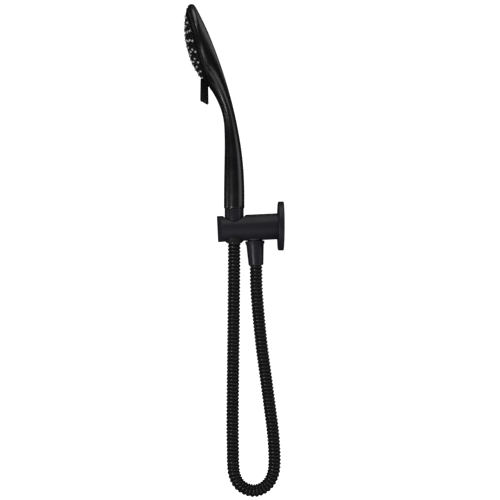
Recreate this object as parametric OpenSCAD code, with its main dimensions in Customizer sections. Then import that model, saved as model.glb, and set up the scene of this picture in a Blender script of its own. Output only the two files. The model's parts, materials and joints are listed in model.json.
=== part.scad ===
// Handheld shower set on a round wall arm: bracket, check valve, hose, handset and turning spray face.
// Frame: origin at the centre of the wall inlet, on the plane of the wall. +X points into the wall,
// +Z points up, and -X is the side of the room. Millimetres.

/* [Bracket] */
// Outer diameter of the round wall flange
flange_d = 60; // [56:1:66]
// Thickness of the wall flange
flange_t = 7.2; // [6.6:0.2:8]
// Diameter of the round arm that holds the handset
arm_d = 32; // [32:0.5:34]
// Length of the arm from the wall to its front end
arm_reach = 81; // [80:0.5:84]
// How far the front of the arm hangs below level, in degrees
arm_droop = 2.75; // [2:0.25:3]
// Distance from the wall to the upright axis of the handset
cradle_reach = 60.4; // [60.2:0.1:60.8]
// Distance along the arm from the wall to the hose outlet under it
outlet_reach = 36; // [35:0.5:36]
// Width of the slot that lets the hose into the cradle
slot_w = 17; // [16.6:0.2:17.4]
// Root radius of the female G1/2 wall inlet
inlet_r = 9.32; // [9.2:0.02:9.4]
// Depth of the female wall inlet, down to the washer
inlet_depth = 13; // [12:0.5:14]

/* [Outlet and hose ends] */
// Outer diameter of the collar on the lower hose nut
outlet_collar_d = 23.7; // [23.6:0.1:24.4]
// Diameter of the cone below that collar
outlet_cone_d = 22.2; // [22:0.1:22.8]
// Diameter at the small end of the lower hose nut
outlet_tip_d = 18.5; // [18.2:0.1:19]
// Outer diameter of the hose
hose_d = 16; // [15.6:0.1:16]
// Outer diameter of the conical nut that rests in the cradle
nut_d = 23.4; // [23.2:0.1:23.6]
// Radius of the male G1/2 threads
thread_r = 10.4; // [10.3:0.02:10.42]

/* [Handset] */
// Diameter of the handle at its lower end
handle_d = 25.2; // [24.8:0.1:25.6]
// Height of the handle's lower end above the wall inlet
handle_z = 21.5; // [21.3:0.1:21.7]
// Angle between the spray face and upright, in degrees
face_lean = 15.3; // [15:0.1:15.6]
// Distance from the handle's axis forward to the centre of the face rim
face_out = 44; // [43.6:0.1:44.2]
// Height of the centre of the face rim above the wall inlet
face_z = 217.5; // [217.2:0.1:217.8]
// Outer radius of the turning spray face
face_r = 49.3; // [49.1:0.1:49.4]
// Rise of the domed face above its rim plane
dome_rise = 13.4; // [13:0.1:13.7]

/* [Nozzles] */
// Number of radial rows of nozzles in the two outer rings
spokes = 18; // [12:1:18]
// Height of a nozzle above the dome
nozzle_h = 1.1; // [0.8:0.1:1.6]
// Radius of a nozzle at its foot
nozzle_r = 1.6; // [1.3:0.1:1.7]

/* [Hidden] */
$fn = 64;
arm_r = arm_d / 2;
cradle_x = -cradle_reach;
tiny = 0.01;
gap = 0.1;
washer_seat_r = inlet_r - 0.8;

// The cradle: an upright hole through the arm, and the tapered liner in it
cradle_hole_r = 14.2;
liner_r = cradle_hole_r - gap;
cone_top_z = 6;
cone_end_z = -21.2;
nut_r = nut_d / 2;
nut_tip_r = 9.6;
liner_lip_z = -19.8;
liner_lip_r = 12;
liner_top_z = 3.6;
// Radius of the arm's rounded front end, seen from above
front_r = 20.8;

// Heights along the outlet, measured in the arm's own frame from its axis
spot_z = -14;
nipple_top_z = -5.5;
nipple_thread_z = -16.4;
nipple_end_z = -25.8;
outlet_top_z = -16.6;
collar_h = 3;
outlet_end_z = -46.5;
ferrule_end_z = -43.8;
nipple_bore_r = 7;
valve_top_z = -7;
valve_end_z = -21;
valve_seat_z = -9;
spider_z = -18.5;
poppet_z = -9.05;
poppet_t = 2;

// The handle's radius and wall, and heights inside the handset nut and the handle
handle_r = handle_d / 2;
wall_t = 2.4;
nut_top_z = handle_z - gap;
ferrule_top_z = 7.1;
upper_ferrule_end_z = -19.2;
adapter_top_z = 42;

// Radii and heights inside the head, measured from the rim plane along the spray direction
rim_r = 51.4;
rim_z = -0.8;
rim_inner_r = 49.9;
face_seam_r = 43.2;
dome_edge_r = 48;
dome_edge_z = 1.6;
dome_sag = dome_rise - dome_edge_z;
dome_r = (dome_edge_r * dome_edge_r + dome_sag * dome_sag) / (2 * dome_sag);
post_r = 3;
cap_r = 7;
port_ring_r = 24;
port_step = 35;
groove_r = 20;
mat_r = 42;

// Rows of nozzles: [ring radius, number of nozzles, angle of the first one, angle to the last one]. The
// outer row leaves room for the lever.
nozzle_rings = [
    [40.2, spokes, -162, 324],
    [33, spokes, 0, 360 - 360 / spokes],
    [25.5, 12, 15, 330],
    [18.5, 12, 0, 330],
    [12, 6, 0, 300]
];

// Half sections of the handset shell from the handle's lower end to the face rim. Each row holds the
// front point, the back point (forward distance from the handle's axis, height) and the half width.
shell_rows = [
    [-handle_r, handle_z, handle_r, handle_z, handle_r],
    [0.1 - handle_r, 45, handle_r - 0.1, 45, handle_r],
    [-12.2, 66, 11.6, 66, 12.4],
    [-11.8, 88, 9.3, 90, 12.1],
    [-11.8, 108, 5.8, 112, 11.8],
    [-12.6, 125, 1.4, 134, 12.2],
    [-15, 138, -4.4, 157.5, 14.6],
    [-19.2, 149.5, -11.3, 181, 20],
    [-23.9, 159, -20.2, 207, 28.5],
    [-27, 164.2, -31.3, 235, 38.5],
    [-28.8, 166.6, -41.2, 255.7, 46.5],
    [-29.5, 167.6, -48.4, 268.2, 50.9]
];
// The same rows for the cavity inside the shell
cavity_rows = [
    [wall_t - handle_r, handle_z, handle_r - wall_t, handle_z, handle_r - wall_t],
    [wall_t + 0.1 - handle_r, 45, handle_r - wall_t - 0.1, 45, handle_r - wall_t],
    [-9.6, 66, 8.7, 66, 9.8],
    [-9.2, 88, 6.5, 89.5, 9.5],
    [-9.3, 107.5, 3.2, 111, 9.3],
    [-10.2, 124.5, -1.1, 133.5, 9.8],
    [-12.7, 138.6, -6.7, 156.9, 12.2],
    [-17, 150.5, -13.6, 180.3, 17.6],
    [-21.8, 160.2, -22.5, 206.2, 26],
    [-25, 165.5, -33.5, 234, 36],
    [-26.6, 168, -43.3, 254.6, 44],
    [-26.9, 169.6, -50.2, 266.4, 49.3]
];

// Centre line of the water tube inside the handle: [forward distance from the handle's axis, height]
tube_route = [
    [0, 36], [-0.2, 52], [-0.8, 72], [-1.9, 96], [-3.8, 117], [-7, 135], [-11.3, 150],
    [-15.8, 163], [-19.6, 175.4], [-21.6, 182.7]
];

// Centre line of the hose, from the lower nut to the handset nut: [X, Z] in the plane Y = 0
hose_route = [
    [-33.8, -46.2], [-33.6, -60], [-33.2, -77], [-31.9, -95], [-29.8, -118], [-26.4, -150],
    [-21.4, -187], [-16.5, -224], [-13.4, -248], [-11.6, -270], [-11.2, -290], [-12.9, -302.6],
    [-18.2, -313.4], [-26.6, -320.4], [-36.4, -322.9], [-46.2, -320.6], [-54.8, -314.1],
    [-60, -303.2], [-61.6, -290], [-62, -270], [-62.3, -246], [-62.1, -210], [-61.7, -170],
    [-61.2, -130], [-60.8, -90], [-60.5, -50], [-60.4, -30], [-60.4, -19.5]
];

// ---------- helpers ----------

// Arm frame: X along the drooping arm, Z square to it
module arm_frame() {
    rotate([0, -arm_droop, 0]) children();
}

// Turns a revolved shape so that its axis runs out of the wall
module outward() {
    rotate([0, -90, 0]) children();
}

// Frame of the outlet: Z along the outlet's axis
module outlet_frame() {
    arm_frame() translate([-outlet_reach, 0, 0]) children();
}

// Frame of the upright handset axis
module handset_frame() {
    translate([cradle_x, 0, 0]) children();
}

// The upright slot that lets the hose into the cradle from the side
module hose_slot() {
    translate([cradle_x - slot_w / 2, 0, -40]) cube([slot_w, 40, 80]);
}

// Frame of the spray face: origin at the centre of the rim, Z along the spray, X up the face
module face_frame() {
    translate([cradle_x - face_out, 0, face_z]) rotate([0, -90 - face_lean, 0]) children();
}

module tube(outer_r, inner_r, z_low, z_high) {
    rotate_extrude() translate([inner_r, z_low]) square([outer_r - inner_r, z_high - z_low]);
}

module oring(ring_r, wire_r, z) {
    translate([0, 0, z]) rotate_extrude() translate([ring_r, 0]) circle(r = wire_r, $fn = 24);
}

// Arc points around a centre, for rounded profile corners
function arc(cx, cy, r, from, to, steps = 5) =
    [for (i = [0:steps]) let (a = from + (to - from) * i / steps) [cx + r * cos(a), cy + r * sin(a)]];

// Catmull-Rom value between b and c, at t from 0 to 1
function blend(a, b, c, d, t) =
    b + (c - a) * t / 2 + (2 * a - 5 * b + 4 * c - d) * t * t / 2 + (3 * b - a - 3 * c + d) * t * t * t / 2;

// Rows with extra rows between them, on one smooth curve through them all
function refine(rows, steps) = let (last = len(rows) - 1) concat(
    [for (i = [0:last - 1], k = [0:steps - 1])
        blend(i > 0 ? rows[i - 1] : 2 * rows[0] - rows[1], rows[i], rows[i + 1],
            i < last - 1 ? rows[i + 2] : 2 * rows[last] - rows[last - 1], k / steps)],
    [rows[last]]);

// Height of the dome above the rim plane, at a radius
function dome_z(r) = dome_rise - dome_r + sqrt(dome_r * dome_r - r * r);

// Points of the dome's outline from one radius to another, lowered by drop
function dome_line(from, to, drop, steps = 8) =
    [for (i = [0:steps]) let (r = from + (to - from) * i / steps) [r, dome_z(r) - drop]];

// A point of the face frame as [forward distance from the handle's axis, height]
function face_point(up, ahead) = [
    -face_out - up * sin(face_lean) - ahead * cos(face_lean),
    face_z + up * cos(face_lean) - ahead * sin(face_lean)
];

// A round row of the shell that lies in the face frame
function rim_row(r, ahead) = concat(face_point(-r, ahead), face_point(r, ahead), [r]);

// One ring of points around a row: front point, back point and half width
function row_ring(row, around) = [for (k = [0:around - 1])
    let (a = 360 * k / around, share = (1 - cos(a)) / 2)
        [row[0] + (row[2] - row[0]) * share, row[4] * sin(a), row[1] + (row[3] - row[1]) * share]];

// Faces that join ring i to ring i + 1, each ring having n points
function band(i, n) = [for (k = [0:n - 1]) let (m = (k + 1) % n)
    each [[i * n + k, (i + 1) * n + k, (i + 1) * n + m], [i * n + k, (i + 1) * n + m, i * n + m]]];

// Round tube along a route of [X, Z] points in the plane Y = 0
module sweep(route, r, sides) {
    last = len(route) - 1;
    points = [for (i = [0:last])
        let (t = route[min(i + 1, last)] - route[max(i - 1, 0)], u = t / norm(t))
            for (k = [0:sides - 1]) let (a = 360 * k / sides)
                [route[i][0] + r * cos(a) * u[1], r * sin(a), route[i][1] - r * cos(a) * u[0]]];
    faces = concat(
        [for (i = [0:last - 1]) each band(i, sides)],
        [[for (k = [0:sides - 1]) k]],
        [[for (k = [sides - 1:-1:0]) last * sides + k]]);
    polyhedron(points, faces);
}

// Coil spring along Z
module coil(coil_r, wire_r, z_low, z_high, turns) {
    per_turn = 14;
    sides = 6;
    last = turns * per_turn;
    points = [for (i = [0:last], k = [0:sides - 1])
        let (a = 360 * i / per_turn, b = 360 * k / sides, r = coil_r + wire_r * cos(b))
            [r * cos(a), r * sin(a), z_low + (z_high - z_low) * i / last + wire_r * sin(b)]];
    faces = concat(
        [for (i = [0:last - 1]) each band(i, sides)],
        [[for (k = [0:sides - 1]) k]],
        [[for (k = [sides - 1:-1:0]) last * sides + k]]);
    polyhedron(points, faces);
}

// ---------- bracket on the wall ----------

module wall_flange() {
    edge = 1.6;
    bore = arm_r + 0.6;
    outer = flange_d / 2;
    color("#1b1b20") outward() difference() {
        rotate_extrude() polygon(concat(
            [[bore, 0], [outer - 0.4, 0], [outer, 0.4]],
            arc(outer - edge, flange_t - edge, edge, 0, 90),
            [[bore + 0.5, flange_t], [bore, flange_t - 0.5]]));
        tube(27, 20, -tiny, 2);
        tube(bore + 1.6, bore - 1, 2.6, 4.6);
    }
}

module flange_gasket() {
    color("#2a2a2a") outward() tube(26.9, 20.1, 0, 1.9);
}

module flange_oring() {
    color("#151515") outward() oring(arm_r + 1.35, 0.8, 3.6);
}

module bracket_arm() {
    edge = 0.9;
    color("#1b1b20") difference() {
        intersection() {
            rotate([0, -90 - arm_droop, 0]) rotate_extrude() polygon(concat(
                [[0, -6], [arm_r, -6]],
                arc(arm_r - edge, arm_reach - edge, edge, 0, 90),
                [[0, arm_reach]]));
            union() {
                translate([cradle_x, -arm_d, -arm_d]) cube([cradle_reach, 2 * arm_d, 2 * arm_d]);
                arm_frame() translate([cradle_x, 0, -arm_d]) cylinder(r = front_r, h = 2 * arm_d, $fn = 96);
            }
        }
        outward() translate([0, 0, -1]) cylinder(r = inlet_r, h = inlet_depth + 1);
        outward() cylinder(r = washer_seat_r, h = inlet_depth + 2);
        outward() cylinder(r = 6, h = outlet_reach + 5);
        outlet_frame() translate([0, 0, -20]) cylinder(r = 8.4, h = 20 + nipple_top_z + 0.5);
        outlet_frame() translate([0, 0, -20]) cylinder(r = 9.5, h = 20 + spot_z);
        translate([cradle_x, 0, -40]) cylinder(r = cradle_hole_r, h = 80);
        hose_slot();
    }
}

module inlet_washer() {
    color("#6b6b66") outward() tube(washer_seat_r - gap, 6, inlet_depth, inlet_depth + 2);
}

module cradle_liner() {
    color("#0e0e10") difference() {
        union() {
            intersection() {
                translate([cradle_x, 0, -30]) cylinder(r = liner_r, h = 30 + liner_top_z);
                rotate([0, -90 - arm_droop, 0]) cylinder(r = arm_r - 0.2, h = arm_reach + 5);
            }
            handset_frame() rotate_extrude() polygon([
                [8.6, -14], [liner_lip_r, -14], [liner_lip_r, liner_lip_z + 2],
                [liner_lip_r - 1.6, liner_lip_z], [8.6, liner_lip_z]]);
        }
        handset_frame() rotate_extrude() polygon([
            [0, -40], [nut_tip_r + gap, -40], [nut_tip_r + gap, cone_end_z],
            [nut_r + gap, cone_top_z], [0, cone_top_z]]);
        hose_slot();
    }
}

// ---------- outlet, check valve and lower hose end ----------

module outlet_nipple() {
    color("#1b1b20") outlet_frame() difference() {
        union() {
            tube(8.33, nipple_bore_r, spot_z - 1.1, nipple_top_z);
            tube(9.4, nipple_bore_r, nipple_thread_z, spot_z - 1);
            tube(thread_r, nipple_bore_r, nipple_end_z, nipple_thread_z);
        }
        tube(nipple_bore_r + 0.4, nipple_bore_r - 1, valve_end_z - 1.3, valve_end_z - 0.3);
    }
}

module outlet_seal() {
    color("#3a3a3a") outlet_frame() tube(9.4, 8.43, spot_z - 1, spot_z);
}

module check_valve_housing() {
    seat_r = 3.6;
    color("#e8e4da") outlet_frame() difference() {
        translate([0, 0, valve_end_z]) cylinder(r = nipple_bore_r - 0.05, h = valve_top_z - valve_end_z);
        translate([0, 0, spider_z]) cylinder(r = 5.2, h = valve_seat_z - spider_z);
        translate([0, 0, valve_seat_z - 1]) cylinder(r = seat_r, h = 10);
        translate([0, 0, valve_end_z - 1]) cylinder(r = 1.25, h = 5);
        for (a = [0:60:300]) rotate([0, 0, a])
            translate([3.7, 0, valve_end_z - 1]) cylinder(r = 1.2, h = 5, $fn = 32);
    }
}

module check_valve_poppet() {
    color("#d9d4c6") outlet_frame() rotate_extrude() polygon([
        [0, poppet_z], [4.2, poppet_z], [4.7, poppet_z - 0.5], [4.7, poppet_z - poppet_t],
        [1.2, poppet_z - poppet_t], [1.2, valve_end_z + 1.2], [0, valve_end_z + 1.2]]);
}

module check_valve_spring() {
    color("#b8b8b8") outlet_frame() coil(2, 0.3, spider_z + 0.35, poppet_z - poppet_t - 0.35, 5);
}

module outlet_nut() {
    collar_r = outlet_collar_d / 2;
    cone_r = outlet_cone_d / 2;
    tip_r = outlet_tip_d / 2;
    collar_z = outlet_top_z - collar_h;
    bore_r = 8.3;
    color("#1b1b20") outlet_frame() rotate_extrude() polygon(concat(
        [[thread_r + 0.05, outlet_top_z], [collar_r - 0.5, outlet_top_z], [collar_r, outlet_top_z - 0.5]],
        [[collar_r, collar_z + 0.4], [collar_r - 0.5, collar_z], [collar_r - 0.5, collar_z - 0.3]],
        [[collar_r - 0.2, collar_z - 0.6], [collar_r - 0.2, collar_z - 1], [cone_r, collar_z - 2.4]],
        arc(tip_r - 2.5, outlet_end_z + 2, 2.5, 0, -48, 4),
        [[bore_r, outlet_end_z], [bore_r, -33], [7.4, -33], [7.4, -30.2]],
        [[9.5, -30.2], [9.5, nipple_end_z - 0.2], [thread_r + 0.05, nipple_end_z - 0.2]]));
}

module outlet_washer() {
    color("#2f2f2f") outlet_frame() tube(9.3, 5.5, -28, nipple_end_z - 0.05);
}

module lower_ferrule() {
    color("#b79a57") outlet_frame() rotate_extrude() polygon([
        [4.5, -28.05], [9.3, -28.05], [9.3, -30.1], [7.3, -30.1], [7.3, ferrule_end_z], [4.5, ferrule_end_z]]);
}

module hose() {
    color("#141416") sweep(refine(hose_route, 2), hose_d / 2, 10);
}

// ---------- upper hose end, which lifts with the handset ----------

module upper_ferrule() {
    color("#b79a57") handset_frame() rotate_extrude() polygon([
        [4.5, upper_ferrule_end_z], [7.3, upper_ferrule_end_z], [7.3, ferrule_top_z - 2],
        [9.3, ferrule_top_z - 2], [9.3, ferrule_top_z], [4.5, ferrule_top_z]]);
}

// ---------- handset ----------

module handset_nut() {
    bore_r = 8.3;
    color("#1b1b20") handset_frame() rotate_extrude() polygon(concat(
        [[thread_r + 0.05, nut_top_z], [nut_r - 0.5, nut_top_z], [nut_r, nut_top_z - 0.5], [nut_r, cone_top_z]],
        arc(nut_tip_r - 1.2, cone_end_z + 1.2, 1.2, 0, -90, 4),
        [[bore_r, cone_end_z], [bore_r, 2], [7.4, 2], [7.4, 4.8], [9.5, 4.8], [9.5, 9.4]],
        [[thread_r + 0.05, 9.4]]));
}

module filter_washer() {
    color("#2f2f2f") handset_frame() tube(9.4, 5.2, ferrule_top_z + gap, 9.4);
}

module handset_body() {
    around = 32;
    outer = refine(concat(shell_rows, [concat(face_point(-52.1, -1.6), face_point(52.9, -4.6), [52.2]),
        rim_row(rim_r, rim_z)]), 2);
    inner = refine(concat(cavity_rows, [rim_row(rim_inner_r, -3), rim_row(rim_inner_r, rim_z)]), 2);
    last = len(outer) - 1;
    rows = concat(outer, [for (i = [last:-1:0]) inner[i]], [outer[0]]);
    count = len(rows) - 1;
    points = [for (i = [0:count - 1]) each row_ring(rows[i], around)];
    side = [for (i = [0:count - 2]) each band(i, around)];
    foot = [for (k = [0:around - 1]) let (m = (k + 1) % around, b = (count - 1) * around)
        each [[b + k, k, m], [b + k, m, b + m]]];
    color("#121212") handset_frame()
        polyhedron(points, [for (f = concat(side, foot)) [f[2], f[1], f[0]]]);
}

module inlet_adapter() {
    color("#b79a57") handset_frame() difference() {
        union() {
            tube(thread_r, 6.4, 9.5, handle_z - gap);
            tube(9.7, 6.4, handle_z - gap, 34);
            tube(9.7, 4.05, 34, adapter_top_z);
        }
        tube(12, 8.2, 29, 31);
        tube(5.6, 3, 38.2, 39.8);
    }
}

module adapter_seal() {
    color("#151515") handset_frame() oring(8.95, 0.72, 30);
}

module flow_limiter() {
    color("#4f8f6a") handset_frame() difference() {
        translate([0, 0, 11]) cylinder(r = 6.3, h = 4);
        for (a = [0:60:300]) rotate([0, 0, a]) translate([3.9, 0, 10]) cylinder(r = 0.9, h = 6, $fn = 24);
        translate([0, 0, 10]) cylinder(r = 1.2, h = 6, $fn = 24);
    }
}

module water_tube() {
    sides = 12;
    outer_r = 4;
    bore_r = 2.9;
    route = refine(tube_route, 2);
    last = len(route) - 1;
    function ring(i, r) = let (t = route[min(i + 1, last)] - route[max(i - 1, 0)], u = t / norm(t))
        [for (k = [0:sides - 1]) let (a = 360 * k / sides)
            [route[i][0] + r * cos(a) * u[1], r * sin(a), route[i][1] - r * cos(a) * u[0]]];
    count = 2 * (last + 1);
    points = concat([for (i = [0:last]) each ring(i, outer_r)], [for (i = [last:-1:0]) each ring(i, bore_r)]);
    side = [for (i = [0:count - 2]) each band(i, sides)];
    foot = [for (k = [0:sides - 1]) let (m = (k + 1) % sides, b = (count - 1) * sides)
        each [[b + k, k, m], [b + k, m, b + m]]];
    color("#c9c9c4") handset_frame() polyhedron(points, concat(side, foot));
}

module tube_seal() {
    color("#151515") handset_frame() oring(4.8, 0.66, 39);
}

module head_chamber() {
    spigot_z = -12.4;
    color("#dcdad2") face_frame() difference() {
        union() {
            rotate_extrude() polygon([[38.2, -6.5], [44.6, -6.5], [47.2, -5], [38.2, -5]]);
            tube(40, 38.2, -8.5, -4);
            tube(39, 1.5, -8.5, -6.5);
            tube(9, 1.5, -11.5, -8.5);
            tube(post_r, 1.5, -6.5, 5.2);
            translate([-46.5, 0, spigot_z]) rotate([0, 90, 0]) cylinder(r = 5.2, h = 26);
            translate([groove_r, 0, -8.5]) cylinder(r = 2.6, h = 4.3);
        }
        translate([-47, 0, spigot_z]) rotate([0, 90, 0]) cylinder(r = 4.1, h = 9.5);
        translate([-38, 0, spigot_z]) rotate([0, 90, 0]) cylinder(r = 3, h = 16);
        translate([-port_ring_r, 0, spigot_z]) cylinder(r = 3, h = 12);
        translate([groove_r, 0, -8]) cylinder(r = 1.3, h = 6, $fn = 32);
    }
}

module port_seal() {
    color("#151515") face_frame() translate([-port_ring_r, 0, 0]) tube(4.6, 3.1, -6.5, -3.6);
}

module detent_ball() {
    color("#c4c4c4") face_frame() translate([groove_r, 0, -4.3]) sphere(r = 1.2, $fn = 32);
}

module detent_spring() {
    color("#b8b8b8") face_frame() translate([groove_r, 0, 0]) coil(0.9, 0.18, -7.75, -5.75, 4);
}

module pivot_screw() {
    color("#c4c4c4") face_frame() difference() {
        union() {
            translate([0, 0, -7]) cylinder(r = 1.45, h = 14);
            translate([0, 0, 6.1]) cylinder(r = 3.6, h = 2.4);
        }
        for (a = [0, 90]) rotate([0, 0, a]) translate([-2, -0.4, 7.3]) cube([4, 0.8, 2]);
    }
}

module pivot_washer() {
    color("#c4c4c4") face_frame() tube(5.6, 1.6, 5.25, 6.05);
}

// ---------- turning spray face ----------

module port_plate() {
    color("#dcdad2") face_frame() difference() {
        tube(37.8, post_r + 0.07, -3.5, -1.5);
        for (step = [-1:1]) rotate([0, 0, 180 + step * port_step])
            translate([port_ring_r, 0, -5]) cylinder(r = 3, h = 5);
        tube(groove_r + 1.5, groove_r - 1.5, -4, -2.8);
    }
}

module diffuser_plate() {
    color("#c9c7bf") face_frame() difference() {
        tube(40.8, post_r + 0.07, -1.4, 0.4);
        for (a = [0:60:300]) rotate([0, 0, a]) translate([33, 0, -3]) cylinder(r = 3, h = 5);
        for (a = [30:60:330]) rotate([0, 0, a]) translate([17, 0, -3]) cylinder(r = 2.4, h = 5);
    }
}

// One of the nozzle holes or nozzles at each place of the pattern
module at_nozzles() {
    for (ring = nozzle_rings, i = [0:ring[1] - 1])
        rotate([0, 0, ring[2] + ring[3] * i / (ring[1] - 1)])
            translate([ring[0], 0, dome_z(ring[0])]) children();
}

module nozzle_mat() {
    color("#9a9a98") face_frame() {
        rotate_extrude() polygon(concat(dome_line(9, mat_r, 3.3), dome_line(mat_r, 9, 2.1)));
        at_nozzles() translate([0, 0, -2.7])
            cylinder(r1 = nozzle_r, r2 = nozzle_r - 0.5, h = 2.7 + nozzle_h, $fn = 24);
    }
}

module spray_face() {
    hub_r = 8.7;
    color("#161616") face_frame() difference() {
        rotate_extrude() polygon(concat(
            [[post_r + 0.07, 3.2], [hub_r, 3.2]],
            [[hub_r, dome_z(hub_r) - 2]],
            dome_line(hub_r + 0.1, mat_r, 2),
            [[mat_r + gap, -1], [face_seam_r - gap, -1]],
            dome_line(face_seam_r - gap, cap_r + gap, 0),
            [[cap_r + gap, 5], [post_r + 0.07, 5]]));
        at_nozzles() translate([0, 0, -4]) cylinder(r = nozzle_r + 0.1, h = 8, $fn = 24);
    }
}

module selector_ring() {
    lever_w = 12;
    lip = 0.5;
    color("#131313") face_frame() {
        difference() {
            rotate_extrude() polygon(concat(
                [[face_seam_r, -1.2], [44.8, -3.6], [face_r - 0.6, -3.6], [face_r, -2.6]],
                arc(face_r - 1.2, 0.5, 1.2, 0, 75, 4),
                dome_line(dome_edge_r - 0.4, face_seam_r, 0, 3)));
            tube(face_r - 1.6, 46, -5, -1.4);
        }
        intersection() {
            translate([0, lever_w / 2, 0]) rotate([90, 0, 0]) linear_extrude(lever_w) polygon(concat(
                [[-49.2, lip], [-46.5, 0.4], [-face_seam_r - 0.1, 2]],
                [[-face_seam_r - 0.1, dome_z(face_seam_r) + 0.2], [-37.2, dome_z(37.2) + 0.2], [-37.4, 7.2]],
                arc(-62.5, 12.2, 2.2, 75, 170),
                arc(-67.6, 7.6, 2.4, 185, 275)));
            translate([0, 0, -5]) linear_extrude(30) hull() {
                translate([-38.5, 0]) square([3, lever_w - 1.4], center = true);
                translate([-64.6, 0]) circle(r = lever_w / 2, $fn = 48);
            }
        }
    }
}

module centre_cap() {
    color("#161616") face_frame() rotate_extrude() polygon(concat(
        [[0, 11.2], [cap_r - 0.6, 11.2], [cap_r, 11.6]],
        dome_line(cap_r, 0, 0, 4)));
}

wall_flange();
flange_gasket();
flange_oring();
bracket_arm();
inlet_washer();
cradle_liner();
outlet_nipple();
outlet_seal();
check_valve_housing();
check_valve_poppet();
check_valve_spring();
outlet_nut();
outlet_washer();
lower_ferrule();
hose();
upper_ferrule();
handset_nut();
filter_washer();
handset_body();
inlet_adapter();
adapter_seal();
flow_limiter();
water_tube();
tube_seal();
head_chamber();
port_seal();
detent_ball();
detent_spring();
pivot_screw();
pivot_washer();
port_plate();
diffuser_plate();
nozzle_mat();
spray_face();
selector_ring();
centre_cap();
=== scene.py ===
"""Looks of the handheld shower set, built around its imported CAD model.

The frame is the CAD model's: origin at the centre of the wall inlet, +X into the wall, +Z up.
Blender objects are in metres. Outlines and rows are written in millimetres, like the CAD model's,
and are scaled when their mesh is made. The hose's route is in metres.
"""
import json
import math
import bmesh
import bpy
from mathutils import Matrix, Vector


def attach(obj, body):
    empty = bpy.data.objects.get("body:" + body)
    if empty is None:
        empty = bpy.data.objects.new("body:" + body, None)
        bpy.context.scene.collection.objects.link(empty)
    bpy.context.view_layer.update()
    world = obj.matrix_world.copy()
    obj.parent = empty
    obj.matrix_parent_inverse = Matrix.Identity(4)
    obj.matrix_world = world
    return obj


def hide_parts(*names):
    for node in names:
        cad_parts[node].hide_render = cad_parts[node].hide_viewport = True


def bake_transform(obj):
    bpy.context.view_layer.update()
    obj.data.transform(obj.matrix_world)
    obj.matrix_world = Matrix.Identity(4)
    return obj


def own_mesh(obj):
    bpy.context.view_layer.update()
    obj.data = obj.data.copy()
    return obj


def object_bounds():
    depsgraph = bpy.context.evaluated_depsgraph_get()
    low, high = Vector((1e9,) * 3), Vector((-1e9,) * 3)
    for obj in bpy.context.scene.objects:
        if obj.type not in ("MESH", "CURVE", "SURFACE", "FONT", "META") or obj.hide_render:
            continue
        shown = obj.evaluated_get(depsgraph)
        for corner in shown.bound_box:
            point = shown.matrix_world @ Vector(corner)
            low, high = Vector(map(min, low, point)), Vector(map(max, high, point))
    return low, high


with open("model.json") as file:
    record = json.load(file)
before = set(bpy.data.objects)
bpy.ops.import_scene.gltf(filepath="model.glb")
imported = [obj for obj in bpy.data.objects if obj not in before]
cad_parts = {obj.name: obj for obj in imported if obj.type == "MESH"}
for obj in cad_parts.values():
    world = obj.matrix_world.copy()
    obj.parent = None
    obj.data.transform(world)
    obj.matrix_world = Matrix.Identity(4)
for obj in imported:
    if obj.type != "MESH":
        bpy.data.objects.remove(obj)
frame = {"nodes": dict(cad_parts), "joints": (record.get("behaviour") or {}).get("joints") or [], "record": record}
cad_low, cad_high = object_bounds()

MM = 0.001
JOINTS = {joint["name"]: joint for joint in frame["joints"]}


# ---------- camera ----------

# The camera looks along +Y from about 1.5 m, from a little towards the front of the arm
CENTRE = (cad_low + cad_high) / 2
AIM = CENTRE + Vector((0.0200, 0, 0.0012))
EYE = AIM + Vector((-0.034, -1.525, 0))

camera = bpy.data.objects.new("camera", bpy.data.cameras.new("camera"))
camera.data.lens = 90
camera.data.sensor_width = 36
camera.location = EYE
camera.rotation_euler = (AIM - EYE).to_track_quat("-Z", "Y").to_euler()
bpy.context.scene.collection.objects.link(camera)
bpy.context.scene.camera = camera


# ---------- helpers for shapes ----------

def moved(x=0.0, y=0.0, z=0.0):
    """A shift in millimetres."""
    return Matrix.Translation(Vector((x, y, z)) * MM)


def turned(angle, axis):
    """A turn in radians about the X, Y or Z axis."""
    return Matrix.Rotation(angle, 4, axis)


def clean(mesh, sharp=35):
    """Joins doubled points, turns the faces outward and smooths all edges but the sharp ones."""
    work = bmesh.new()
    work.from_mesh(mesh)
    bmesh.ops.remove_doubles(work, verts=work.verts, dist=1e-6)
    bmesh.ops.recalc_face_normals(work, faces=work.faces)
    work.to_mesh(mesh)
    work.free()
    mesh.shade_smooth()
    mesh.set_sharp_from_angle(angle=math.radians(sharp))


def piece(name, points, faces, place=Matrix(), unit=MM, sharp=35):
    """A new object from points in the given unit, moved to its place."""
    mesh = bpy.data.meshes.new(name)
    mesh.from_pydata([Vector(p) * unit for p in points], [], faces)
    mesh.transform(place)
    clean(mesh, sharp)
    obj = bpy.data.objects.new(name, mesh)
    bpy.context.scene.collection.objects.link(obj)
    return obj


def bands(rings, around, closed=False):
    """Faces that join rings of points, each closed round itself. closed joins the last ring to the first."""
    faces = []
    for i in range(rings if closed else rings - 1):
        here, there = i * around, (i + 1) % rings * around
        for k in range(around):
            m = (k + 1) % around
            faces.append((here + k, there + k, there + m, here + m))
    return faces


def arc(x, y, radius, start, end, steps=6):
    """Points of an arc, with its angles in degrees."""
    angles = [math.radians(start + (end - start) * i / steps) for i in range(steps + 1)]
    return [(x + radius * math.cos(a), y + radius * math.sin(a)) for a in angles]


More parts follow.
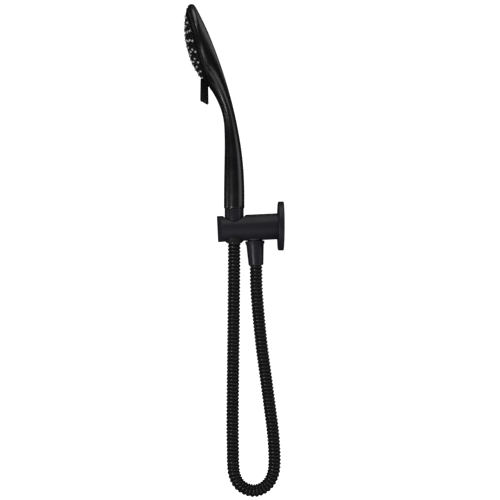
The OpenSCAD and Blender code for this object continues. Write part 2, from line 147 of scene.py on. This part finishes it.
def rounded(corners, steps=4):
    """A closed outline of (x, y) and (x, y, radius) corners, with arcs in place of the latter."""
    outline = []
    for i, corner in enumerate(corners):
        here = Vector(corner[:2])
        if len(corner) == 2:
            outline.append(here)
            continue
        back = (Vector(corners[i - 1][:2]) - here).normalized()
        ahead = (Vector(corners[(i + 1) % len(corners)][:2]) - here).normalized()
        half = back.angle(ahead) / 2
        centre = here + (back + ahead).normalized() * corner[2] / math.sin(half)
        start = here + back * corner[2] / math.tan(half) - centre
        end = here + ahead * corner[2] / math.tan(half) - centre
        turn = math.atan2(start.cross(end), start.dot(end))
        for k in range(steps + 1):
            outline.append(centre + Matrix.Rotation(turn * k / steps, 2) @ start)
    return outline


def lathe_points(outline, steps):
    """Points of an outline of (radius, height), repeated round the local Z axis."""
    points = []
    for k in range(steps):
        a = math.tau * k / steps
        points += [(r * math.cos(a), r * math.sin(a), z) for r, z in outline]
    return points


def lathe(name, outline, place, steps=128):
    """A closed outline of (radius, height) turned round the local Z axis."""
    return piece(name, lathe_points(outline, steps), bands(steps, len(outline), True), place)


def rod(radius, low, high, place, steps=96):
    """A plain solid of revolution, used to cut another piece and then removed."""
    points = lathe_points([(radius, low), (radius, high)], steps)
    ends = [tuple(range(0, 2 * steps, 2)), tuple(range(1, 2 * steps, 2))]
    return piece("cutter", points, bands(steps, 2, True)[::2] + ends, place)


def block(low, high, place=Matrix()):
    """A plain box between two corners, used to cut another piece and then removed."""
    points = [(x, y, z) for x in (low[0], high[0]) for y in (low[1], high[1]) for z in (low[2], high[2])]
    faces = [(0, 1, 3, 2), (4, 6, 7, 5), (0, 4, 5, 1), (2, 3, 7, 6), (0, 2, 6, 4), (1, 5, 7, 3)]
    return piece("cutter", points, faces, place)


def carve(obj, cutter, operation="DIFFERENCE"):
    """Applies one boolean to obj and removes the cutter."""
    modifier = obj.modifiers.new("carve", "BOOLEAN")
    modifier.operation = operation
    modifier.solver = "EXACT"
    modifier.object = cutter
    bake(obj)
    bpy.data.objects.remove(cutter)


def bake(obj):
    """Applies obj's modifiers to its mesh."""
    evaluated = obj.evaluated_get(bpy.context.evaluated_depsgraph_get())
    mesh = bpy.data.meshes.new_from_object(evaluated)
    obj.modifiers.clear()
    obj.data = mesh
    clean(mesh)


def between(a, b, c, d, t):
    """The point at share t between b and c on the smooth curve through a, b, c and d."""
    return (b + (c - a) * (t / 2) + (2 * a - 5 * b + 4 * c - d) * (t * t / 2)
            + (3 * b - a - 3 * c + d) * (t * t * t / 2))


def refined(rows, steps):
    """Rows with more rows between them, all on one smooth curve."""
    rows = [Vector(row) for row in rows]
    ends = [2 * rows[0] - rows[1]] + rows + [2 * rows[-1] - rows[-2]]
    fine = [between(*ends[i:i + 4], k / steps) for i in range(len(rows) - 1) for k in range(steps)]
    return fine + [rows[-1]]


# ---------- frames ----------

OUTLET_DOWN = Vector(JOINTS["check_valve_open"]["axis"])
SPRAY_AXIS = Vector(JOINTS["spray_select"]["axis"])
FACE_TURN = math.atan2(SPRAY_AXIS.x, SPRAY_AXIS.z)
LEAN = -FACE_TURN - math.pi / 2
HANDSET_X = JOINTS["handset_turn"]["pos_m"][0] / MM
FACE_X, _, FACE_Z = (value / MM for value in JOINTS["spray_select"]["pos_m"])
FACE_OUT = HANDSET_X - FACE_X
OUTLET_REACH = 36

# The arm droops a little, and the outlet under it is square to it
ARM = turned(-math.asin(OUTLET_DOWN.x), "Y")
OUTLET = ARM @ moved(-OUTLET_REACH)
OUTWARD = turned(-math.pi / 2, "Y")
HANDSET = moved(HANDSET_X)
FACE = moved(FACE_X, 0, FACE_Z) @ turned(FACE_TURN, "Y")


# ---------- hose ----------

HOSE_CREST_R = 0.00798
RIB_PITCH = 0.00437
RIB_DEPTH = 0.0016
RIB_FULLNESS = 1.7
RINGS_PER_RIB = 10
HOSE_SIDES = 32

# Centre line from the lower nut to the handset nut: (X, Z) in the plane Y = 0
HOSE_ROUTE = [
    (-0.0338, -0.0462), (-0.0336, -0.060), (-0.0332, -0.077), (-0.0319, -0.095), (-0.0298, -0.118),
    (-0.0264, -0.150), (-0.0214, -0.187), (-0.0165, -0.224), (-0.0134, -0.248), (-0.0116, -0.270),
    (-0.0112, -0.290), (-0.0129, -0.3026), (-0.0182, -0.3134), (-0.0266, -0.3204), (-0.0364, -0.3229),
    (-0.0462, -0.3206), (-0.0548, -0.3141), (-0.060, -0.3032), (-0.0616, -0.290), (-0.062, -0.270),
    (-0.0623, -0.246), (-0.0621, -0.210), (-0.0617, -0.170), (-0.0612, -0.130), (-0.0608, -0.090),
    (-0.0605, -0.050), (-0.0604, -0.030), (-0.0604, -0.0195)
]


def even_line(route, spacing):
    """Points at equal steps along the smooth curve through a route, and the curve's length."""
    steps_between_points = 40
    fine = refined(route, steps_between_points)
    reached = [0.0]
    for a, b in zip(fine, fine[1:]):
        reached.append(reached[-1] + (b - a).length)
    count = round(reached[-1] / spacing)
    line, j = [], 0
    for i in range(count + 1):
        wanted = reached[-1] * i / count
        while j < len(fine) - 2 and reached[j + 1] < wanted:
            j += 1
        share = (wanted - reached[j]) / (reached[j + 1] - reached[j])
        line.append(fine[j].lerp(fine[j + 1], share))
    return line, reached[-1]


# Where the outlet's leg comes down to this height, the cover is parted in two
LOOP_TOP_Z = -0.290


def hose_length(name, line, first, final, turns):
    """The cover from one point of the hose's line to another. One left-handed rib winds along it.

    turns is the number of the rib's turns on the whole line.
    """
    last = len(line) - 1
    points, crests = [], []
    for i in range(first, final + 1):
        spot = line[i]
        along = (line[min(i + 1, last)] - line[max(i - 1, 0)]).normalized()
        for k in range(HOSE_SIDES):
            a = math.tau * k / HOSE_SIDES
            across_rib = 2 * ((turns * i / last + k / HOSE_SIDES) % 1) - 1
            crest = 1 - abs(across_rib) ** RIB_FULLNESS
            radius = HOSE_CREST_R - RIB_DEPTH * (1 - crest)
            out = radius * math.cos(a)
            points.append((spot.x + out * along.y, radius * math.sin(a), spot.y - out * along.x))
            crests.append(crest)
    rings = final - first + 1
    ends = [tuple(range(HOSE_SIDES)), tuple(range((rings - 1) * HOSE_SIDES, rings * HOSE_SIDES))]
    obj = piece(name, points, bands(rings, HOSE_SIDES) + ends, unit=1, sharp=80)
    attribute = obj.data.attributes.new("crest", "FLOAT", "POINT")
    attribute.data.foreach_set("value", crests)
    return obj


def make_hose():
    """The outlet's leg, which stays still, and the loop with the other leg."""
    line, length = even_line(HOSE_ROUTE, RIB_PITCH / RINGS_PER_RIB)
    last = len(line) - 1
    parting = next(i for i, spot in enumerate(line) if spot.y < LOOP_TOP_Z)
    lengths = []
    for name, first, final in (("hose_outlet_leg", 0, parting), ("hose_loop", parting, last)):
        obj = hose_length(name, line, first, final, length / RIB_PITCH)
        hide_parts("hose")
        lengths.append(obj)
    outlet_leg, loop = lengths
    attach(outlet_leg, "bracket")
    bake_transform(loop)
    return lengths


# ---------- check valve ----------

def make_valve_spring():
    """The check valve's spring again, as a piece of its own."""
    obj = bpy.data.objects.new("valve_spring", frame["nodes"]["check_valve_spring"].data.copy())
    bpy.context.scene.collection.objects.link(obj)
    return obj


def shorten(obj):
    """Gives the spring a mesh of its own, at its full length."""
    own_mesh(obj)


# ---------- bracket ----------

ARM_R, ARM_REACH = 16, 81
# What the two hose nuts share: the thread, the washer's pocket and the neck's way through
NUT_THREAD_R, NUT_WASHER_R, NUT_NECK_R = 10.45, 9.5, 7.4


def make_wall_flange():
    """The round cover flange, with the gasket's recess in its back and the O-ring's groove in its bore."""
    bore, outer, thick = ARM_R + 0.6, 30, 7.2
    outline = rounded([
        (bore, 0), (20, 0), (20, 2), (27, 2), (27, 0), (outer, 0, 0.4), (outer, thick, 1.6),
        (bore, thick, 0.5), (bore, 4.6), (bore + 1.6, 4.6), (bore + 1.6, 2.6), (bore, 2.6)])
    return lathe("flange_cover", outline, OUTWARD, 160)


def make_arm():
    """The round arm with its rounded front end, water way, outlet port, cradle hole and hose slot."""
    # Points at axis_r join into one on the axis. overlap reaches into the wall and past clear of the arm.
    front_r, edge, axis_r, overlap, past = 20.8, 0.9, 0.001, 6, 2 * ARM_R
    inlet_r, inlet_depth, seat_r, water_r = 9.32, 13, 8.52, 6
    port_r, port_mouth_r, port_mouth_z = 8.4, 9.5, -14
    hole_r, slot_w = 14.2, 17
    outline = [(axis_r, -overlap), (ARM_R, -overlap)]
    outline += arc(ARM_R - edge, ARM_REACH - edge, edge, 0, 90) + [(axis_r, ARM_REACH)]
    arm = lathe("arm_body", outline, ARM @ OUTWARD, 160)
    keep = block((HANDSET_X, -past, -past), (0, past, past))
    carve(keep, rod(front_r, -past, past, ARM @ HANDSET, 192), "UNION")
    carve(arm, keep, "INTERSECT")
    carve(arm, rod(inlet_r, -1, inlet_depth, OUTWARD))
    carve(arm, rod(seat_r, inlet_depth - 1, inlet_depth + 2, OUTWARD))
    carve(arm, rod(water_r, 0, OUTLET_REACH + 5, OUTWARD, 64))
    carve(arm, rod(port_r, -20, -5, OUTLET, 64))
    carve(arm, rod(port_mouth_r, -20, port_mouth_z, OUTLET, 64))
    carve(arm, rod(hole_r, -40, 40, HANDSET, 128))
    carve(arm, block((HANDSET_X - slot_w / 2, 0, -40), (HANDSET_X + slot_w / 2, 40, 40)))
    return arm


def make_outlet_nut():
    """The collared conical nut on the outlet."""
    collar_r, cone_r, tip_r, bore_r = 11.85, 11.1, 9.25, 8.3
    outline = rounded([
        (NUT_THREAD_R, -16.6, 0.3), (collar_r, -16.6, 0.4), (collar_r, -19.5, 0.3), (collar_r - 0.5, -19.6),
        (collar_r - 0.5, -19.9), (collar_r - 0.2, -20.2, 0.15), (collar_r - 0.2, -20.6, 0.2),
        (cone_r, -22, 0.5)])
    outline += [Vector(p) for p in arc(tip_r - 2.5, -44.5, 2.5, 0, -48)]
    outline += rounded([
        (bore_r, -46.5), (bore_r, -33), (NUT_NECK_R, -33), (NUT_NECK_R, -30.2), (NUT_WASHER_R, -30.2),
        (NUT_WASHER_R, -26), (NUT_THREAD_R, -26)])
    return lathe("lower_hose_nut", outline, OUTLET)


def make_handset_nut():
    """The long conical nut that rests in the cradle."""
    nut_r, tip_r, bore_r = 11.7, 9.6, 8.3
    outline = rounded([
        (NUT_THREAD_R, 21.4, 0.2), (nut_r, 21.4, 0.4), (nut_r, 6, 6), (tip_r, -21.2, 1.2),
        (bore_r, -21.2, 0.1), (bore_r, 2), (NUT_NECK_R, 2), (NUT_NECK_R, 4.8), (NUT_WASHER_R, 4.8),
        (NUT_WASHER_R, 9.4), (NUT_THREAD_R, 9.4)])
    return lathe("cradle_nut", outline, HANDSET)


# ---------- handset ----------

RIM_Z, RIM_INNER_R = -0.8, 49.9
DOME_EDGE_R, DOME_EDGE_Z, DOME_RISE = 48, 1.6, 13.4
DOME_R = (DOME_EDGE_R ** 2 + (DOME_RISE - DOME_EDGE_Z) ** 2) / (2 * (DOME_RISE - DOME_EDGE_Z))

# Half sections of the shell from the handle's lower end to the head. Each row holds the front point,
# the back point (forward distance from the handle's axis, height) and the half width.
SHELL_ROWS = [
    (-12.6, 21.5, 12.6, 21.5, 12.6),
    (-12.5, 45, 12.5, 45, 12.6),
    (-12.2, 66, 11.6, 66, 12.4),
    (-11.8, 88, 9.3, 90, 12.1),
    (-11.8, 108, 5.8, 112, 11.8),
    (-12.6, 125, 1.4, 134, 12.2),
    (-15, 138, -4.4, 157.5, 14.6),
    (-19.2, 149.5, -11.3, 181, 20),
    (-23.9, 159, -20.2, 207, 28.5),
    (-27, 164.2, -31.3, 235, 38.5),
    (-28.8, 166.6, -41.2, 255.7, 46.5),
    (-29.5, 167.6, -48.4, 268.2, 50.9)
]
# The same rows for the cavity inside the shell
CAVITY_ROWS = [
    (-10.2, 21.5, 10.2, 21.5, 10.2),
    (-10.1, 45, 10.1, 45, 10.2),
    (-9.6, 66, 8.7, 66, 9.8),
    (-9.2, 88, 6.5, 89.5, 9.5),
    (-9.3, 107.5, 3.2, 111, 9.3),
    (-10.2, 124.5, -1.1, 133.5, 9.8),
    (-12.7, 138.6, -6.7, 156.9, 12.2),
    (-17, 150.5, -13.6, 180.3, 17.6),
    (-21.8, 160.2, -22.5, 206.2, 26),
    (-25, 165.5, -33.5, 234, 36),
    (-26.6, 168, -43.3, 254.6, 44),
    (-26.9, 169.6, -50.2, 266.4, 49.3)
]


def dome_z(radius):
    """Height of the domed face above the rim plane."""
    return DOME_RISE - DOME_R + math.sqrt(DOME_R ** 2 - radius ** 2)


def dome_line(start, end, drop, steps=12):
    """Points of (radius, height) along the domed face, lowered by drop."""
    radii = [start + (end - start) * i / steps for i in range(steps + 1)]
    return [(r, dome_z(r) - drop) for r in radii]


def face_point(up, ahead):
    """A point of the face's frame as (forward distance from the handle's axis, height)."""
    return (-FACE_OUT - up * math.sin(LEAN) - ahead * math.cos(LEAN),
            FACE_Z + up * math.cos(LEAN) - ahead * math.sin(LEAN))


def rim_row(radius, ahead):
    """A round row of the shell, square to the face's axis."""
    return face_point(-radius, ahead) + face_point(radius, ahead) + (radius,)


def row_ring(row, around):
    """One ring of points round a row."""
    ring = []
    for k in range(around):
        a = math.tau * k / around
        share = (1 - math.cos(a)) / 2
        ring.append((row[0] + (row[2] - row[0]) * share, row[4] * math.sin(a),
                     row[1] + (row[3] - row[1]) * share))
    return ring


def make_handset_body():
    """The hollow moulded handle and head, open at both ends, with a rounded foot and a rounded rim."""
    around = 112
    foot = [(x, -z, -x, -z, -x) for x, z in arc(-12, -22.1, 0.6, 90, 180, 4)]
    widest = face_point(-52.1, -1.6) + face_point(52.9, -4.6) + (52.2,)
    outer = refined(SHELL_ROWS + [widest], 7)
    turn_in = refined([outer[-1], rim_row(51.5, -1.3), rim_row(51.1, RIM_Z)], 3)
    inner = refined(CAVITY_ROWS + [rim_row(RIM_INNER_R, -3)], 5)
    lip = [rim_row(RIM_INNER_R + 0.3, RIM_Z), rim_row(RIM_INNER_R, RIM_Z - 0.3)]
    rows = foot + outer[1:] + turn_in[1:] + lip + inner[::-1]
    points = [p for row in rows for p in row_ring(row, around)]
    return piece("handset_shell", points, bands(len(rows), around, True), HANDSET, sharp=50)


# ---------- turning spray face ----------

RING_IN, RING_OUT = 43.2, 49.3
# Rows of nozzles: (ring radius, number, angle of the first one, angle to the last one)
NOZZLE_RINGS = [
    (40.2, 18, -162, 324), (33, 18, 0, 340), (25.5, 12, 15, 330), (18.5, 12, 0, 330), (12, 6, 0, 300)
]
NOZZLE_FOOT_R, NOZZLE_TIP_R, NOZZLE_H, NOZZLE_BORE_R = 1.6, 1.1, 1.1, 0.4

# Lever outline in the face's frame: the tip's two arcs as (up, ahead, radius), and its root
LEVER_TOP = (-62.5, 12.2, 2.2)
LEVER_TIP = (-67.6, 7.6, 2.4)
LEVER_ROOT_UP, LEVER_ROOT_AHEAD = -37.4, 7.2
# Back of the lever: from here it runs to the tip, in the rim it lies at this height, and it clears the
# face by this gap
LEVER_BACK_UP, LEVER_BACK_AHEAD = -49.2, 0.5
LEVER_RIM_AHEAD, LEVER_FACE_GAP = 1.0, 0.2
# Seen from the front, the lever is widest where its tip starts to round, and each side tapers by this
# much towards its root
LEVER_W, LEVER_TAPER = 12, 0.7
LEVER_WIDEST_UP, LEVER_NARROW_UP = -64.6, -38.5


def make_nozzles():
    """The silicone sheet with every nozzle on it."""
    inner_r, outer_r, back, front, around = 9, 42, 3.3, 2.1, 96
    sheet = dome_line(inner_r, outer_r, back) + dome_line(outer_r, inner_r, front)
    points, faces = lathe_points(sheet, around), bands(around, len(sheet), True)
    foot_z = -(back + front) / 2
    nozzle = rounded([
        (NOZZLE_BORE_R, foot_z), (NOZZLE_FOOT_R, foot_z), (NOZZLE_TIP_R, NOZZLE_H, 0.4),
        (NOZZLE_BORE_R, NOZZLE_H, 0.15)], 3)
    steps = 20
    for radius, count, first, span in NOZZLE_RINGS:
        for i in range(count):
            a = math.radians(first + span * i / (count - 1))
            x, y, z = radius * math.cos(a), radius * math.sin(a), dome_z(radius)
            base = len(points)
            points += [(x + p[0], y + p[1], z + p[2]) for p in lathe_points(nozzle, steps)]
            faces += [tuple(base + v for v in face) for face in bands(steps, len(nozzle), True)]
    return piece("nozzle_sheet", points, faces, FACE)


def on_circle(circle, angle):
    """The point of a circle (up, ahead, radius) at an angle in degrees."""
    up, ahead, radius = circle
    return up + radius * math.cos(math.radians(angle)), ahead + radius * math.sin(math.radians(angle))


def lever_section(up):
    """Lowest and highest point and half width of the lever at a place along it."""
    top_start, top_z = on_circle(LEVER_TOP, 75)
    top_end, slope_z = on_circle(LEVER_TOP, 170)
    tip_up = LEVER_TIP[0] - LEVER_TIP[2]
    if up > top_start:
        share = (LEVER_ROOT_UP - up) / (LEVER_ROOT_UP - top_start)
        high = LEVER_ROOT_AHEAD + (top_z - LEVER_ROOT_AHEAD) * share
    elif up > top_end:
        high = LEVER_TOP[1] + math.sqrt(LEVER_TOP[2] ** 2 - (up - LEVER_TOP[0]) ** 2)
    else:
        high = slope_z + (LEVER_TIP[1] - slope_z) * (top_end - up) / (top_end - tip_up)
    back_up, back_z = on_circle(LEVER_TIP, 275)
    if up < back_up:
        low = LEVER_TIP[1] - math.sqrt(max(LEVER_TIP[2] ** 2 - (up - LEVER_TIP[0]) ** 2, 0))
    elif up < -RING_OUT:
        share = (LEVER_BACK_UP - up) / (LEVER_BACK_UP - back_up)
        low = LEVER_BACK_AHEAD + (back_z - LEVER_BACK_AHEAD) * share
    elif up < -RING_IN:
        low = LEVER_RIM_AHEAD
    else:
        low = dome_z(-up) + LEVER_FACE_GAP
    half = LEVER_W / 2
    past_widest = up - LEVER_WIDEST_UP
    if past_widest < 0:
        half = math.sqrt(max(half ** 2 - past_widest ** 2, 0))
    else:
        half -= LEVER_TAPER * past_widest / (LEVER_NARROW_UP - LEVER_WIDEST_UP)
    return low, high, half


def make_selector_ring():
    """The rim of the spray face with its lever, as one moulding."""
    bottom, groove_z = -3.6, -1.4
    ring = [(RING_IN, -1.2), (44.8, bottom), (46, bottom), (46, groove_z), (47.7, groove_z), (47.7, bottom)]
    ring += [(RING_OUT - 0.6, bottom), (RING_OUT, bottom + 1)]
    ring += arc(RING_OUT - 1.2, 0.5, 1.2, 0, 75) + dome_line(DOME_EDGE_R - 0.4, RING_IN + 0.2, 0, 6)
    ring += [(RING_IN, dome_z(RING_IN) - 0.2)]
    rim = lathe("selector_rim", ring, FACE, 160)
    stations = [LEVER_NARROW_UP, -39.2, -41, -43, -43.21, -46, -49.29, -49.31, -52, -55, -58, -60.5, -61.9]
    stations += [-62.5 - 2.1 * i / 5 for i in range(6)]
    stations += [-65.4, -66.2, -67, -67.8, -68.5, -69.1, -69.5, -69.8]
    corner_steps = 4
    points = []
    for up in stations:
        low, high, half = lever_section(up)
        bend = min(1.3, half * 0.8, (high - low) * 0.45)
        corners = [(-half, low, bend), (half, low, bend), (half, high, bend), (-half, high, bend)]
        points += [(up, y, z) for y, z in rounded(corners, corner_steps)]
    around = 4 * (corner_steps + 1)
    ends = [tuple(range(around)), tuple(range((len(stations) - 1) * around, len(stations) * around))]
    lever = piece("lever", points, bands(len(stations), around) + ends, FACE)
    carve(rim, lever, "UNION")
    return rim


# ---------- materials ----------

def make_surface(name, colour, roughness, metallic=0.0, mottle=0.12, spread=0.05, patch=0.02,
                 grain=0.0005, depth=0.00001, specular=0.5, subsurface=0.0):
    """A procedural finish: soft patches vary its colour and roughness, and a fine grain its surface.

    mottle is the share by which the colour varies and spread the roughness. patch and grain are the
    sizes of both patterns and depth is the grain's height, in metres.
    """
    material = bpy.data.materials.new(name)
    material.use_nodes = True
    nodes, links = material.node_tree.nodes, material.node_tree.links
    shader = nodes["Principled BSDF"]
    shader.inputs["Metallic"].default_value = metallic
    shader.inputs["Specular IOR Level"].default_value = specular
    if subsurface:
        shader.inputs["Subsurface Weight"].default_value = subsurface
        shader.inputs["Subsurface Scale"].default_value = 0.001
    where = nodes.new("ShaderNodeTexCoord")
    clouds = nodes.new("ShaderNodeTexNoise")
    clouds.inputs["Scale"].default_value = 1 / patch
    clouds.inputs["Detail"].default_value = 4
    links.new(where.outputs["Object"], clouds.inputs["Vector"])
    tint = nodes.new("ShaderNodeMix")
    tint.data_type = "RGBA"
    tint.inputs["A"].default_value = [c * (1 - mottle) for c in colour] + [1]
    tint.inputs["B"].default_value = [c * (1 + mottle) for c in colour] + [1]
    links.new(clouds.outputs["Fac"], tint.inputs["Factor"])
    links.new(tint.outputs["Result"], shader.inputs["Base Color"])
    fine = nodes.new("ShaderNodeTexNoise")
    fine.inputs["Scale"].default_value = 1 / grain
    fine.inputs["Detail"].default_value = 3
    links.new(where.outputs["Object"], fine.inputs["Vector"])
    gloss = nodes.new("ShaderNodeMapRange")
    gloss.inputs["From Min"].default_value = 0.3
    gloss.inputs["From Max"].default_value = 0.7
    gloss.inputs["To Min"].default_value = roughness - spread
    gloss.inputs["To Max"].default_value = roughness + spread
    links.new(clouds.outputs["Fac"], gloss.inputs["Value"])
    links.new(gloss.outputs["Result"], shader.inputs["Roughness"])
    bump = nodes.new("ShaderNodeBump")
    bump.inputs["Distance"].default_value = depth
    links.new(fine.outputs["Fac"], bump.inputs["Height"])
    links.new(bump.outputs["Normal"], shader.inputs["Normal"])
    return material


SURFACES = {
    "bracket_finish": make_surface("satin_black_plate", (0.011, 0.0105, 0.0145), 0.46, specular=0.15),
    "nut_finish": make_surface("satin_black_nut_plate", (0.012, 0.0115, 0.0155), 0.34, specular=0.2),
    "handset_plastic": make_surface("black_abs", (0.004, 0.004, 0.005), 0.3, grain=0.003, depth=0.000002),
    "face_plastic": make_surface("black_face_abs", (0.006, 0.006, 0.006), 0.3),
    "lever_plastic": make_surface("black_lever_abs", (0.003, 0.003, 0.003), 0.5, specular=0.15),
    "nozzle_silicone": make_surface("grey_silicone", (0.36, 0.36, 0.36), 0.45, mottle=0.06),
    "hose_cover": make_surface("black_pvc", (0.007, 0.007, 0.007), 0.2),
    "liner_plastic": make_surface("black_nylon", (0.006, 0.006, 0.007), 0.6, specular=0.2),
    "seal_rubber": make_surface("black_epdm", (0.02, 0.02, 0.02), 0.6),
    "fibre_washer": make_surface("grey_fibre", (0.04, 0.04, 0.04), 0.8, grain=0.0003, depth=0.00005),
    "brass": make_surface("turned_brass", (0.72, 0.52, 0.25), 0.28, metallic=1.0),
    "valve_plastic": make_surface("natural_acetal", (0.78, 0.76, 0.7), 0.38, subsurface=0.2),
    "tube_plastic": make_surface("natural_polypropylene", (0.62, 0.62, 0.6), 0.35, subsurface=0.2),
    "limiter_plastic": make_surface("green_acetal", (0.05, 0.28, 0.14), 0.38),
    "spring_steel": make_surface("spring_steel", (0.62, 0.62, 0.63), 0.22, metallic=1.0),
}


def shade_valleys(material):
    """The hose's cover is matt between its ribs and polished on their crests."""
    nodes, links = material.node_tree.nodes, material.node_tree.links
    shader = nodes["Principled BSDF"]
    crest = nodes.new("ShaderNodeAttribute")
    crest.attribute_name = "crest"
    polished_above = 0.8
    for socket, low, high in (("Specular IOR Level", 0.02, 0.25), ("Coat Weight", 0.0, 0.35)):
        level = nodes.new("ShaderNodeMapRange")
        level.inputs["From Min"].default_value = polished_above
        level.inputs["To Min"].default_value = low
        level.inputs["To Max"].default_value = high
        links.new(crest.outputs["Fac"], level.inputs["Value"])
        links.new(level.outputs["Result"], shader.inputs[socket])
    shader.inputs["Coat Roughness"].default_value = 0.12


shade_valleys(SURFACES["hose_cover"])
NODE_SLOTS = {part["node"]: part["material_slot"] for part in frame["record"]["subparts"]}


def dress(obj, slot):
    """Gives a piece the finish of a material slot, and nothing else."""
    obj.data.materials.clear()
    obj.data.materials.append(SURFACES[slot])


def stand_for(obj, node, body):
    """A new piece takes the place, body and finish of a CAD node."""
    dress(obj, NODE_SLOTS[node])
    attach(obj, body)
    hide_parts(node)


for node, obj in frame["nodes"].items():
    dress(obj, NODE_SLOTS[node])

for hose in make_hose():
    dress(hose, "hose_cover")

valve_spring = make_valve_spring()
stand_for(valve_spring, "check_valve_spring", "bracket")
shorten(valve_spring)

stand_for(make_wall_flange(), "wall_flange", "bracket")
stand_for(make_arm(), "bracket_arm", "bracket")
stand_for(make_outlet_nut(), "outlet_nut", "bracket")
stand_for(make_handset_nut(), "handset_nut", "handset")
stand_for(make_handset_body(), "handset_body", "handset")
stand_for(make_nozzles(), "nozzle_mat", "selector")
stand_for(make_selector_ring(), "selector_ring", "selector")


# ---------- light and floor ----------

def softbox(name, azimuth, elevation, width, height, glow, distance=1.2):
    """A soft light that faces the object. Azimuth 0 is the camera's side and 90 is the wall's side.

    Its sides and distance are in metres, and its power grows with its area for the same glow.
    """
    a, e = math.radians(azimuth), math.radians(elevation)
    away = Vector((math.sin(a) * math.cos(e), -math.cos(a) * math.cos(e), math.sin(e)))
    light = bpy.data.objects.new(name, bpy.data.lights.new(name, "AREA"))
    light.data.shape = "RECTANGLE"
    light.data.size, light.data.size_y = width, height
    light.data.energy = glow * math.pi * width * height
    light.location = CENTRE + away * distance
    light.rotation_euler = away.to_track_quat("Z", "Y").to_euler()
    bpy.context.scene.collection.objects.link(light)


softbox("wall_side_light", 74, 9, 0.7, 0.55, 1.8)
softbox("back_light", 152, 34, 0.24, 0.4, 0.5)
softbox("overhead_light", 0, 84, 0.8, 0.7, 2.6)
softbox("below_front_light", 22, -38, 2.6, 0.8, 1.1)
softbox("below_left_light", -70, -46, 1.4, 0.5, 0.5)
softbox("key_light", -14, 55, 0.24, 0.2, 24)
softbox("cradle_light", -84, 3, 0.16, 0.05, 7, 0.6)
softbox("hose_light", -34, -16, 0.06, 0.3, 34, 0.6)


def make_world(seen, on_matt, in_gloss):
    """A white room of three strengths: as it is seen, as it lights matt surfaces, and as gloss mirrors it."""
    world = bpy.data.worlds.new("studio")
    world.use_nodes = True
    nodes, links = world.node_tree.nodes, world.node_tree.links
    rays = nodes.new("ShaderNodeLightPath")
    fill = nodes.new("ShaderNodeMapRange")
    fill.inputs["To Min"].default_value = in_gloss
    fill.inputs["To Max"].default_value = on_matt
    links.new(rays.outputs["Is Diffuse Ray"], fill.inputs["Value"])
    shade = nodes.new("ShaderNodeMapRange")
    shade.inputs["To Max"].default_value = seen
    links.new(rays.outputs["Is Camera Ray"], shade.inputs["Value"])
    links.new(fill.outputs["Result"], shade.inputs["To Min"])
    links.new(shade.outputs["Result"], nodes["Background"].inputs["Strength"])
    nodes["Background"].inputs["Color"].default_value = (1, 1, 1, 1)
    bpy.context.scene.world = world


def make_floor(half, below):
    """A pale floor that the lamps shine through, so that the ones under it light the object too."""
    z = cad_low.z - below
    mesh = bpy.data.meshes.new("floor")
    mesh.from_pydata([(-half, -half, z), (half, -half, z), (half, half, z), (-half, half, z)],
                     [], [(0, 1, 2, 3)])
    floor = bpy.data.objects.new("floor", mesh)
    bpy.context.scene.collection.objects.link(floor)
    pale = bpy.data.materials.new("pale_floor")
    pale.use_nodes = True
    sockets = pale.node_tree.nodes["Principled BSDF"].inputs
    sockets["Base Color"].default_value = (0.85, 0.85, 0.85, 1)
    sockets["Roughness"].default_value = 0.9
    sockets["Emission Color"].default_value = (1, 1, 1, 1)
    sockets["Emission Strength"].default_value = 1.0
    mesh.materials.append(pale)
    floor.visible_glossy = False
    floor.visible_diffuse = False
    floor.visible_shadow = False


make_world(seen=1.2, on_matt=0.3, in_gloss=0.02)
make_floor(half=12, below=0.06)

bpy.context.scene.view_settings.view_transform = "Standard"
